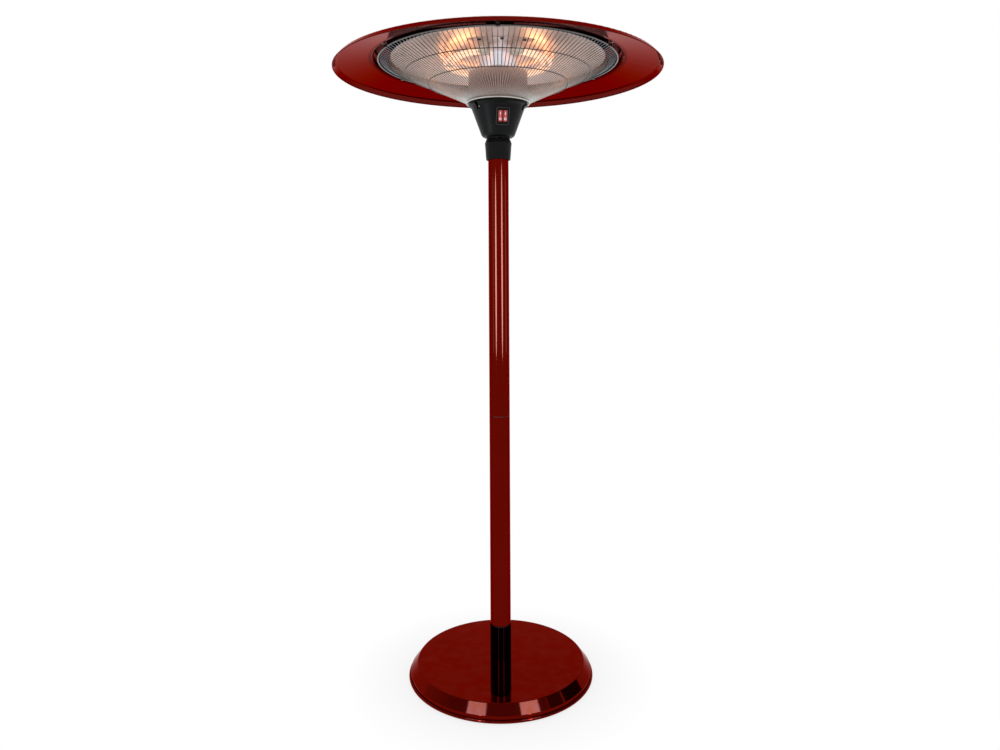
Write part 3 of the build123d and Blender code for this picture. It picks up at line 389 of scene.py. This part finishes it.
def turned_metal(name, colour, dark, rough, density, depth, across=0.0, heat=0.0, metallic=1.0):
    """Spun or drawn metal with rings of fine lines, and a straw tint where the lamps heat it."""
    line_share = 0.7
    cloud_share = 0.3

    def dress(tree):
        lines = tree.use(turned_lines, Density=density, Low=0.0, High=1.0, Depth=depth)
        cloud = tree.use(mottle, Scale=12.0)["Value"]
        tone = tree.blend(tree.times(lines["Value"], line_share), colour, dark)
        tone = tree.blend(tree.times(cloud, cloud_share), tone, dark)
        if heat:
            between = (OUTER_LAMP_R + INNER_LAMP_R) / 2
            near = tree.use(radius_band, Radius=between, Spread=0.05)["Value"]
            tone = tree.blend(tree.times(near, heat), tone, STRAW)
        looks = {"Base Color": tone, "Normal": lines["Normal"],
                 "Roughness": tree.remap(lines["Value"], 0.0, 1.0, rough * 0.8, rough * 1.25)}
        if across:
            looks["Tangent"] = tree.add("ShaderNodeTangent", direction_type="RADIAL", axis="Z").outputs[0]
        return looks
    return surface(name, {"Metallic": metallic, "Anisotropic": across}, dress)


def plain_metal(name, colour, dark, rough, painted_steps=(), metallic=1.0):
    """Bright plated or rolled metal with soft clouding and hairline marks. Each step paints its outer side
    another colour beyond a radius, a painted shade where darker and a painted sheen where paler."""
    cloud_share = 0.6
    rub_rough = 0.15

    def dress(tree):
        skin = tree.use(moulded_grain, Scale=900.0, Depth=0.00001)
        cloud = tree.use(mottle, Scale=40.0)["Value"]
        rub = tree.use(scuffs, Scale=120.0, Amount=0.6)["Value"]
        tone = tree.blend(tree.times(cloud, cloud_share), colour, dark)
        # painted shade and sheen on the outer sides, step by step
        for near, far, painted_tone in painted_steps:
            beyond = tree.use(radius_ramp, Near=near, Far=far)["Value"]
            tone = tree.blend(tree.times(beyond, tree.use(outer_side)["Value"]), tone, painted_tone)
        gloss = tree.remap(cloud, 0.0, 1.0, rough, rough * 1.5)
        return {"Base Color": tone, "Normal": skin["Normal"],
                "Roughness": tree.plus(gloss, tree.times(rub, rub_rough))}
    return surface(name, {"Metallic": metallic}, dress)


def iron_casting(name):
    """Rough dark iron with rust where dust would lie."""
    def dress(tree):
        skin = tree.use(moulded_grain, Scale=260.0, Depth=0.0003)
        cloud = tree.use(mottle, Scale=15.0)["Value"]
        rust = tree.use(settled_dust, Scale=9.0, Amount=0.5)["Value"]
        tone = tree.blend(cloud, rgb(0.035, 0.034, 0.033), rgb(0.07, 0.065, 0.06))
        return {"Base Color": tree.blend(rust, tone, RUST), "Normal": skin["Normal"],
                "Roughness": tree.remap(skin["Value"], 0.0, 1.0, 0.55, 0.8)}
    return surface(name, {"Metallic": 0.6}, dress)


def fired_ceramic(name):
    """Matt off-white ceramic with smoke stains."""
    stain_share = 0.5

    def dress(tree):
        skin = tree.use(moulded_grain, Scale=700.0, Depth=0.00006)
        smoke = tree.use(mottle, Scale=60.0)["Value"]
        tone = tree.blend(tree.times(smoke, stain_share), rgb(0.80, 0.77, 0.70), rgb(0.52, 0.44, 0.36))
        return {"Base Color": tone, "Normal": skin["Normal"],
                "Roughness": tree.remap(skin["Value"], 0.0, 1.0, 0.6, 0.8)}
    return surface(name, {}, dress)


def clear_quartz(name):
    """Clear lamp glass that glows with the coil inside it and shows more at its edges."""
    def dress(tree):
        glow = tree.use(mottle, Scale=55.0, Low=0.75, High=1.0)["Value"]
        edge = tree.add("ShaderNodeFresnel", {"IOR": 1.46}).outputs[0]
        return {"Alpha": tree.remap(edge, 0.03, 0.7, 0.30, 0.95),
                "Emission Color": tree.blend(glow, rgb(1.0, 0.42, 0.20), rgb(1.0, 0.52, 0.30)),
                "Roughness": tree.use(mottle, Scale=90.0, Low=0.02, High=0.08)["Value"],
                "Base Color": tree.blend(glow, rgb(0.90, 0.86, 0.80), rgb(0.98, 0.96, 0.93))}
    return surface(name, {"Emission Strength": 0.38}, dress)


def hot_coil(name):
    """Wire at an orange heat, uneven along its length."""
    def dress(tree):
        heat = tree.use(mottle, Scale=160.0)["Value"]
        return {"Emission Color": tree.blend(heat, rgb(1.0, 0.62, 0.40), rgb(1.0, 0.74, 0.52)),
                "Base Color": tree.blend(heat, rgb(0.25, 0.23, 0.22), rgb(0.35, 0.33, 0.31)),
                "Roughness": tree.remap(heat, 0.0, 1.0, 0.4, 0.6)}
    return surface(name, {"Emission Strength": 2.0}, dress)


def woven_sleeve(name):
    """Glass-fibre sleeving: fine diagonal threads crossing both ways."""
    def dress(tree):
        threads = []
        for lean in (1, -1):
            threads.append(tree.add("ShaderNodeTexWave", {
                "Vector": tree.vector("MULTIPLY", tree.place(), (1, lean, 1)),
                "Scale": 420.0, "Distortion": 0.6, "Detail": 1.0}, bands_direction="DIAGONAL").outputs["Fac"])
        weave = tree.math("MAXIMUM", *threads)
        return {"Base Color": tree.blend(weave, rgb(0.42, 0.39, 0.33), rgb(0.76, 0.73, 0.66)),
                "Normal": tree.bump(weave, 0.0002), "Roughness": tree.remap(weave, 0.0, 1.0, 0.9, 0.7)}
    return surface(name, {}, dress)


def lit_rocker(name):
    """Clear red plastic lit from inside, palest along each rocker's middle as a painted highlight. Its I and
    O are white.
    """
    def dress(tree):
        face = tree.use(switch_face)
        cloud = tree.use(mottle, Scale=170.0)["Value"]
        # painted highlight along each rocker's middle, on top of its inner light
        bright = tree.times(face["Glow and highlight"], tree.remap(cloud, 0.0, 1.0, 0.35, 1.0))
        lit = tree.blend(bright, rgb(0.16, 0.001, 0.002), rgb(1.0, 0.20, 0.19))
        tone = tree.blend(cloud, rgb(0.14, 0.003, 0.003), rgb(0.30, 0.010, 0.010))
        return {"Base Color": tree.blend(face["Mark"], tone, rgb(0.85, 0.82, 0.80)),
                "Emission Color": tree.blend(face["Mark"], lit, rgb(1.0, 0.80, 0.78)),
                "Normal": tree.use(paint_peel, Scale=300.0, Depth=0.00002)["Normal"],
                "Roughness": tree.remap(cloud, 0.0, 1.0, 0.12, 0.2)}
    return surface(name, {"Emission Strength": 0.55, "Coat Weight": 0.5}, dress)


def red_enamel(name, colour, dark, grazing, hood=0.0):
    """The lacquer of the poles, foot and shade, worn where the two poles meet."""
    return candy_enamel(name, colour, dark, grazing, rough=0.045, wear_height=SEAM_HEIGHT, hood=hood)


RED = rgb(0.124, 0.0030, 0.0008)
DEEP_RED = rgb(0.114, 0.0027, 0.0007)
# The shade's red is a paler copy of the poles' red, for a painted sheen over its underside.
SHADE_RED = rgb(0.123, 0.0095, 0.0075)
DEEP_SHADE_RED = rgb(0.113, 0.0086, 0.0068)
# A pale, warm copy of the steel for the lamps' holders and hangers: painted lamplight.
LAMPLIT_PLATE = {"colour": rgb(0.80, 0.68, 0.62), "dark": rgb(0.62, 0.51, 0.46), "rough": 0.30, "metallic": 0.4}
WIRE_SHADE_AND_SHEEN = (
    # from this radius to that one, a colour painted on the wires' outer sides: painted shade, lighter near
    # the
    #     # foot and darkest over the middle, then a pale painted sheen toward the rim
    (0.090, 0.115, rgb(0.42, 0.34, 0.31)),
    (0.13, 0.27, rgb(0.055, 0.05, 0.047)),
    (0.281, 0.290, rgb(0.20, 0.235, 0.255)),
)

finishes = {
    "red_paint": red_enamel("red_enamel", RED, DEEP_RED, rgb(0.80, 0.41, 0.385)),
    "black_paint": candy_enamel("black_enamel", rgb(0.002, 0.0006, 0.0006), rgb(0.0012, 0.0005, 0.0005),
                                rgb(0.3, 0.3, 0.3), rough=0.05, wear_height=SHOULDER_HEIGHT, coat=0.25,
                                dust=0.005),
    "black_plastic": moulded("black_plastic", rgb(0.005, 0.0054, 0.0058), rgb(0.012, 0.0130, 0.0135),
                             rough=0.36, specular=0.10),
    "dark_plastic": moulded("dark_plastic", rgb(0.005, 0.005, 0.0055), rgb(0.013, 0.013, 0.014),
                            rough=0.28, grain=2200.0, specular=0.12),
    "white_plastic": moulded("white_plastic", rgb(0.66, 0.64, 0.58), rgb(0.52, 0.48, 0.40),
                             rough=0.4, grain=900.0),
    "rocker_red": lit_rocker("lit_rocker"),
    "rubber": moulded("rubber", rgb(0.014, 0.014, 0.014), rgb(0.035, 0.034, 0.032),
                      rough=0.7, grain=1100.0, depth=0.00008),
    "cast_iron": iron_casting("iron_casting"),
    "zinc_steel": plain_metal("zinc_plate", rgb(0.62, 0.61, 0.55), rgb(0.42, 0.42, 0.40), rough=0.28),
    "steel": plain_metal("rolled_steel", rgb(0.24, 0.23, 0.22), rgb(0.15, 0.145, 0.14), rough=0.32),
    "chrome": plain_metal("polished_chrome", rgb(0.80, 0.80, 0.80), rgb(0.68, 0.68, 0.69), rough=0.07),
    "guard_chrome": plain_metal("guard_chrome", rgb(0.56, 0.565, 0.54), rgb(0.44, 0.45, 0.43),
                                rough=0.18, painted_steps=WIRE_SHADE_AND_SHEEN),
    "spun_aluminium": turned_metal("spun_aluminium", rgb(0.80, 0.635, 0.578), rgb(0.64, 0.500, 0.453),
                                   rough=0.36, density=1500.0, depth=0.00002, across=0.92, heat=0.12,
                                   metallic=0.85),
    "polished_aluminium": turned_metal("polished_aluminium", rgb(0.86, 0.89, 0.95), rgb(0.70, 0.73, 0.79),
                                       rough=0.16, density=900.0, depth=0.00001, metallic=0.5),
    "ceramic": fired_ceramic("fired_ceramic"),
    "quartz": clear_quartz("clear_quartz"),
    "filament": hot_coil("hot_coil"),
    "lead_sleeve": woven_sleeve("woven_sleeve"),
}
own_finishes = {
    # The hoops and the top ring are darker copies of the guard's chrome, as painted shade; the foot ring is a
    # paler copy, as a painted highlight.
    "guard_hoops": plain_metal("hoop_wire", rgb(0.10, 0.095, 0.09), rgb(0.055, 0.05, 0.05), rough=0.24),
    "guard_foot_ring": plain_metal("foot_ring", rgb(0.62, 0.61, 0.59), rgb(0.48, 0.47, 0.46), rough=0.18),
    "guard_top_ring": plain_metal("top_ring", rgb(0.16, 0.15, 0.15), rgb(0.10, 0.095, 0.09), rough=0.20),
    "lamp_holders": plain_metal("holder_plate", **LAMPLIT_PLATE),
    "lamp_hangers": plain_metal("hanger_plate", **LAMPLIT_PLATE),
    "bracket_screws": plain_metal("dark_screw", rgb(0.06, 0.056, 0.054), rgb(0.03, 0.028, 0.027),
                                  rough=0.22),
    "base_cover": red_enamel("foot_enamel", RED, DEEP_RED, rgb(0.80, 0.51, 0.505)),
    "shade": red_enamel("shade_enamel", SHADE_RED, DEEP_SHADE_RED, rgb(0.80, 0.43, 0.42),
                        hood=PAINTED_HOOD_SHADE_RADIUS),
    # its pale rim is a painted sheen on the bezel's edge
    "switch_frame": moulded("bezel_plastic", rgb(0.004, 0.004, 0.0045), rgb(0.009, 0.009, 0.010),
                            rough=0.28, grain=2200.0, specular=0.10, rim=rgb(0.075, 0.076, 0.078)),
}
for part in frame["record"]["subparts"]:
    finish = own_finishes.get(part["node"], finishes[part["material_slot"]])
    for holder in frame["nodes"][part["node"]].material_slots:
        holder.material = finish


# ---- Pieces grown by rule --------------------------------------------------
def add_object(name, data):
    """A new object in the scene."""
    made = bpy.data.objects.new(name, data)
    bpy.context.scene.collection.objects.link(made)
    return made


class Growth(Tree):
    """A geometry-node tree with named sizes, baked to a plain mesh when it is done."""

    def __init__(self, name, **sizes):
        super().__init__(bpy.data.node_groups.new(name, "GeometryNodeTree"))
        self.name = name
        self.sizes = sizes
        self.sockets = {}
        for label, value in sizes.items():
            kind = "NodeSocketInt" if isinstance(value, int) else "NodeSocketFloat"
            socket = self.tree.interface.new_socket(label, in_out="INPUT", socket_type=kind)
            self.sockets[label] = socket.identifier
        self.tree.interface.new_socket("Geometry", in_out="OUTPUT", socket_type="NodeSocketGeometry")
        self.given = self.add("NodeGroupInput").outputs

    def grow(self, kind, values=None):
        """The first output of a new node."""
        return self.add(kind, values).outputs[0]

    def finish(self, geometry, material, body):
        solid = self.grow("GeometryNodeRealizeInstances", {0: geometry})
        faced = self.grow("GeometryNodeSetMaterial", {"Geometry": solid, "Material": material})
        self.add("NodeGroupOutput", {0: faced})
        holder = add_object(self.name, bpy.data.meshes.new(self.name))
        modifier = holder.modifiers.new("growth", "NODES")
        modifier.node_group = self.tree
        for label, value in self.sizes.items():
            modifier[self.sockets[label]] = value
        ready = holder.evaluated_get(bpy.context.evaluated_depsgraph_get())
        mesh = bpy.data.meshes.new_from_object(ready)
        holder.modifiers.remove(modifier)
        holder.data = mesh
        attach(holder, body)
        return holder


def guard_welds():
    """A small bead where each wire crosses the two hoops and the rings at its ends."""
    bead_drop = 0.0011              # a bead's middle below its wire's
    growth = Growth("guard_welds", wires=WIRE_COUNT, bead=0.0012, **WELD_RADII)
    given = growth.given
    rings = []
    for label in WELD_RADII:
        ring = growth.grow("GeometryNodeMeshCircle", {"Vertices": given["wires"], "Radius": given[label]})
        rise = growth.times(growth.minus(given[label], WIRE_FOOT_R), WIRE_SLOPE)
        lift = growth.grow("ShaderNodeCombineXYZ", {2: growth.plus(rise, WIRE_FOOT_Z - bead_drop)})
        rings.append(growth.grow("GeometryNodeTransform", {0: ring, "Translation": lift}))
    joined = growth.add("GeometryNodeJoinGeometry")
    for ring in reversed(rings):
        growth.feed(joined.inputs[0], ring)
    drop = growth.grow("GeometryNodeMeshIcoSphere", {"Radius": given["bead"], "Subdivisions": 1})
    placed = growth.grow("GeometryNodeInstanceOnPoints", {
        "Points": joined.outputs[0], "Instance": drop, "Scale": (1.0, 1.0, 0.8)})
    return growth.finish(placed, finishes["guard_chrome"], "head")


def lamp_coil(name, lamp_radius, replaced):
    """The glowing coil of one ring lamp, wound round the middle of its glass."""
    pitch = 0.0028
    steps_per_turn = 9
    sweep = 2 * pi - 2 * LAMP_GAP
    turns = int(lamp_radius * sweep / pitch)
    growth = Growth(name, steps=turns * steps_per_turn, turns=float(turns), lamp=lamp_radius, coil=0.00155,
                    wire=0.00036, start=LAMP_MIDDLE + LAMP_GAP, sweep=sweep, height=LAMP_HEIGHT)
    given = growth.given
    line = growth.grow("GeometryNodeMeshLine", {"Count": given["steps"]})
    share = growth.math("DIVIDE", growth.grow("GeometryNodeInputIndex"), growth.minus(given["steps"], 1.0))
    phase = growth.times(growth.times(share, given["turns"]), 2 * pi)
    angle = growth.plus(given["start"], growth.times(share, given["sweep"]))
    radius = growth.plus(given["lamp"], growth.times(growth.math("COSINE", phase), given["coil"]))
    height = growth.plus(given["height"], growth.times(growth.math("SINE", phase), given["coil"]))
    place = growth.grow("ShaderNodeCombineXYZ", {
        0: growth.times(growth.math("COSINE", angle), radius),
        1: growth.times(growth.math("SINE", angle), radius), 2: height})
    moved = growth.grow("GeometryNodeSetPosition", {"Geometry": line, "Position": place})
    path = growth.grow("GeometryNodeMeshToCurve", {"Mesh": moved})
    section = growth.grow("GeometryNodeCurvePrimitiveCircle", {"Resolution": 4, "Radius": given["wire"]})
    wire = growth.grow("GeometryNodeCurveToMesh", {
        "Curve": path, "Profile Curve": section, "Fill Caps": True})
    coil = growth.finish(wire, finishes["filament"], "head")
    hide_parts(replaced)


guard_beads = guard_welds()
lamp_coil("outer_lamp_coil", OUTER_LAMP_R, "outer_filament")
lamp_coil("inner_lamp_coil", INNER_LAMP_R, "inner_filament")


# ---- Stage, light and camera -----------------------------------------------
def seen_directly(tree):
    """1 for camera, glossy and transmission rays, so that glass and metal show the white stage too."""
    path = tree.add("ShaderNodeLightPath").outputs
    seen = tree.math("MAXIMUM", path["Is Camera Ray"], path["Is Glossy Ray"])
    return tree.math("MAXIMUM", seen, path["Is Transmission Ray"])


def make_floor():
    """A white floor that shows soft shadows near the foot and is plain white further away."""
    reach = 40.0
    shadow_r = 0.235
    plain_r = 0.40
    plain_share = 0.80              # of what is seen, inside the shadow's radius
    mesh = bpy.data.meshes.new("floor")
    mesh.from_pydata([(-reach, -reach, 0), (reach, -reach, 0), (reach, reach, 0), (-reach, reach, 0)], [],
                     [(0, 1, 2, 3)])
    floor = add_object("floor", mesh)
    material, tree = node_material("floor_white")
    far = tree.remap(tree.length(tree.place()), shadow_r, plain_r, plain_share, 1.0)
    matt = tree.add("ShaderNodeBsdfDiffuse", {"Color": rgb(0.9, 0.9, 0.9)}).outputs[0]
    plain = tree.add("ShaderNodeEmission", {"Color": WHITE, "Strength": 1.0}).outputs[0]
    shown = tree.times(far, seen_directly(tree))
    mixed = tree.add("ShaderNodeMixShader", {0: shown, 1: matt, 2: plain}).outputs[0]
    tree.add("ShaderNodeOutputMaterial", {"Surface": mixed})
    mesh.materials.append(material)


def make_world():
    """Plain white all round, a little dimmer as light on the object."""
    lighting = 0.75
    world = bpy.data.worlds.new("white_room")
    bpy.context.scene.world = world
    world.use_nodes = True
    tree = Tree(world.node_tree)
    strength = tree.remap(seen_directly(tree), 0.0, 1.0, lighting, 1.0)
    room = tree.add("ShaderNodeBackground", {"Color": WHITE, "Strength": strength}).outputs[0]
    tree.add("ShaderNodeOutputWorld", {"Surface": room})


def dim_card(name, start, end, low, strength, fade=0.0):
    """A far curved card between two azimuths, seen only in reflections that rise steeply. It gives the
    skirt depth, and can fade in from white over its first degrees."""
    steps = 24
    far = 30.0
    high = 66
    corners = []
    for step in range(steps + 1):
        side = radians(start + (end - start) * step / steps)
        for rise in (radians(low), radians(high)):
            reach = far * cos(rise)
            corners.append((reach * sin(side), -reach * cos(side), far * sin(rise)))
    faces = [(2 * step, 2 * step + 2, 2 * step + 3, 2 * step + 1) for step in range(steps)]
    mesh = bpy.data.meshes.new(name)
    mesh.from_pydata(corners, [], faces)
    card = add_object(name, mesh)
    material, tree = node_material(name)
    place = tree.add("ShaderNodeSeparateXYZ", {0: tree.place()}).outputs
    turn = tree.math("ARCTAN2", place[0], tree.times(place[1], -1.0))
    shown = tree.remap(turn, radians(start), radians(start + fade), 1.0, strength) if fade else strength
    dim = tree.add("ShaderNodeEmission", {"Color": WHITE, "Strength": shown}).outputs[0]
    tree.add("ShaderNodeOutputMaterial", {"Surface": dim})
    mesh.materials.append(material)
    for ray in ("camera", "diffuse", "transmission", "shadow", "volume_scatter"):
        setattr(card, "visible_" + ray, False)


def lit_group(name, nodes):
    """The pieces that one group of lights shines on."""
    group = bpy.data.collections.new(name)
    for node in nodes:
        group.objects.link(frame["nodes"][node])
    return group


def soft_box(name, group, colour, side, distance, height, size, power, lean=0, matt=False, shape="RECTANGLE"):
    """A light on one group's pieces, as a sheen or else as matt light. side is its angle right of the front
    and lean how far it looks down, both in degrees."""
    light = bpy.data.lights.new(name, "AREA")
    light.shape = shape
    light.size, light.size_y = size
    light.energy = power
    light.color = colour
    lamp = add_object(name, light)
    lamp.location = (distance * sin(radians(side)), -distance * cos(radians(side)), height)
    lamp.rotation_euler = (radians(90 - lean), 0, radians(side))
    lamp.visible_camera = False
    lamp.visible_diffuse = matt
    lamp.visible_glossy = not matt
    lamp.light_linking.receiver_collection = lit[group]


def lamp_glow(name, radius, drop, first, last, power, count):
    """What the lamps throw on the reflector, from small warm lights beside them. They stand on an arc between
    two angles in degrees, counted from the gap between the lamps' ends."""
    for step in range(count):
        light = bpy.data.lights.new(name, "POINT")
        light.shadow_soft_size = 0.008
        light.energy = power / count
        light.color = (1.0, 0.44, 0.19)
        lamp = add_object(name, light)
        angle = LAMP_MIDDLE + radians(first + (last - first) * (step + 0.5) / count)
        lamp.location = (radius * cos(angle), radius * sin(angle), LAMP_HEIGHT - drop)
        lamp.visible_camera = False
        lamp.light_linking.receiver_collection = lit["reflector"]


def make_camera():
    """The photograph's camera, solved from its round edges; the image is 1000 by 750."""
    camera = bpy.data.cameras.new("camera")
    camera.sensor_width = 36.0
    camera.lens = 27.524
    camera.shift_x = 0.0011
    camera.shift_y = -0.1030
    eye = add_object("camera", camera)
    eye.location = (0.0, -1.9998, 1.0453)
    eye.rotation_euler = (radians(90), 0.0050, 0.0)
    bpy.context.scene.camera = eye


# The lacquer is so red that only very cool light gives it a nearly white sheen.
COOL = (0.027, 0.50, 1.0)
WINDOW_COOL = (0.0181, 0.32, 1.0)
SKIRT_COOL = (0.040, 0.42, 1.0)
PLATE_COOL = (0.067, 0.30, 1.0)
PLAIN = (1.0, 1.0, 1.0)
BLUISH = (0.85, 0.93, 1.0)
WARM = (1.0, 0.82, 0.74)

LIT_PIECES = {
    "poles": ("lower_pole", "upper_pole"),
    "foot": ("base_cover",),
    "stub": ("mast_socket",),
    "shell": ("control_housing",),
    "inside": ("centre_post",),
    "reflector": ("reflector_dish",),
    "ends": ("lamp_end_caps", "lamp_holders", "lamp_hangers"),
    "guard": ("guard_wires",),
}
CARDS = (
    # name, from and to in degrees right of the front, lowest angle, strength, degrees of fading
    ("grey_card", -130, 66, 20, 0.42, 60),
    ("shade_card", 67, 86, 22, 0.16, 0),
    ("black_card", 88, 128, 16, 0.05, 0),
)
MAST_LIGHTS = (
    # name, lit pieces, colour, side, distance, height, size across and up, power, lean, matt, shape
    ("window_left", "poles", WINDOW_COOL, -33, 2.0, 1.08, (0.50, 0.95), 440, 0, False, "ELLIPSE"),
    ("window_right", "poles", WINDOW_COOL, 36, 2.0, 1.10, (0.50, 1.0), 440, 0, False, "ELLIPSE"),
    ("window_far_left", "poles", COOL, -66, 2.0, 1.08, (0.40, 0.9), 12),
    ("window_far_right", "poles", COOL, 84, 2.0, 1.08, (0.40, 0.9), 24),
    ("upper_left", "foot", SKIRT_COOL, -33, 1.6, 1.55, (0.70, 0.45), 72, 44),
    ("upper_right", "foot", SKIRT_COOL, 39, 1.6, 1.55, (0.70, 0.45), 84, 44),
    ("slit_left", "stub", PLAIN, -24, 2.0, 0.95, (0.10, 0.5), 14),
    ("slit_right", "stub", PLAIN, 33, 2.0, 0.95, (0.10, 0.5), 14),
    ("plate_slit_left", "foot", PLATE_COOL, -24, 2.0, 0.95, (0.10, 0.5), 75),
    ("plate_slit_right", "foot", PLATE_COOL, 33, 2.0, 0.95, (0.10, 0.5), 75),
    ("shell_left", "shell", BLUISH, -56, 2.0, 0.35, (0.5, 0.5), 9, -29),
)
HEAD_LIGHTS = (
    # the same columns
    ("post_front", "inside", BLUISH, 6, 1.6, 1.30, (0.9, 0.9), 60, 0, True),
    ("ends_front", "ends", WARM, 3, 1.6, 1.30, (0.9, 0.9), 16, 0, True),
    ("guard_left", "guard", PLAIN, -50, 2.0, 1.2, (1.6, 1.6), 3),
    ("guard_right", "guard", PLAIN, 50, 2.0, 1.2, (1.6, 1.6), 3),
)
GLOWS = (
    # name, radius, drop below the lamps, first and last angle, power in all, number of lights
    ("ring_glow", 0.1275, 0.0, 21, 339, 0.15, 20),
    ("back_glow", 0.150, 0.018, 102, 258, 0.50, 14),
    ("fan_left", 0.152, 0.002, -50, -26, 0.060, 10),
    ("fan_right", 0.152, 0.002, 24, 46, 0.060, 10),
)

make_floor()
make_world()
for row in CARDS:
    dim_card(*row)
lit = {name: lit_group(name, nodes) for name, nodes in LIT_PIECES.items()}
for row in MAST_LIGHTS:
    soft_box(*row)
for row in GLOWS:
    lamp_glow(*row)
for row in HEAD_LIGHTS:
    soft_box(*row)
make_camera()

scene = bpy.context.scene
scene.view_settings.view_transform = "Standard"
